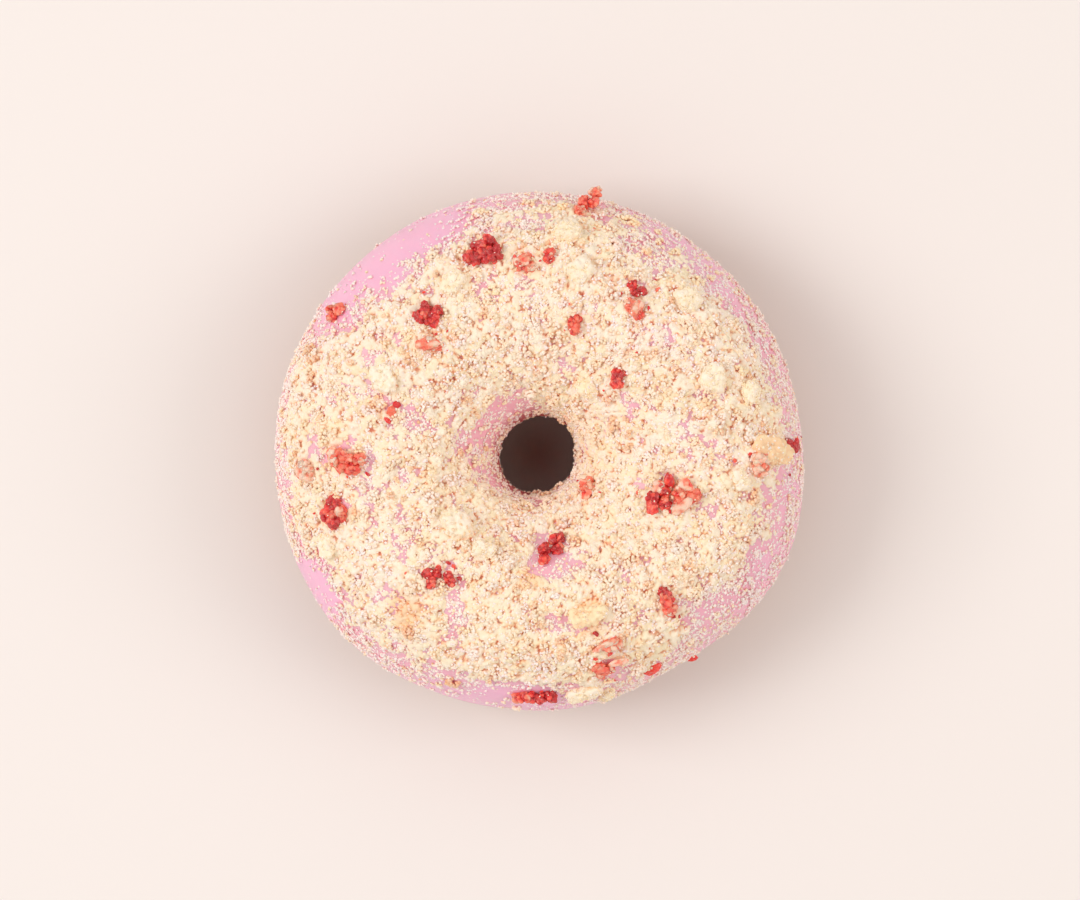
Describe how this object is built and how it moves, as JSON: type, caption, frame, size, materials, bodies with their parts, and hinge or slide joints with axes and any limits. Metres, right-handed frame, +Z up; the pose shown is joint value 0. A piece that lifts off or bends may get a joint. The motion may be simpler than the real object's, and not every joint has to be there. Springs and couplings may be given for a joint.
{
  "type": "iced ring doughnut with biscuit crumbs and berry pieces",
  "caption": "Round raised ring doughnut with pink icing over its upper half, strewn with pale biscuit crumbs, biscuit chunks and red pieces of freeze-dried berry",
  "frame": {"origin": "middle of the ring on the surface that it rests on", "axes": "+Z up, along the hole; +X to the right and +Y away as seen by somebody in front of the plate who looks down on it"},
  "size_m": [0.0957, 0.0941, 0.0368],
  "materials": {
    "fried_dough": "matte",
    "pink_icing": "satin"
  },
  "bodies": {
    "root": {"dough_ring": "fried_dough", "icing_with_toppings": "pink_icing"}
  },
  "joints": []
}
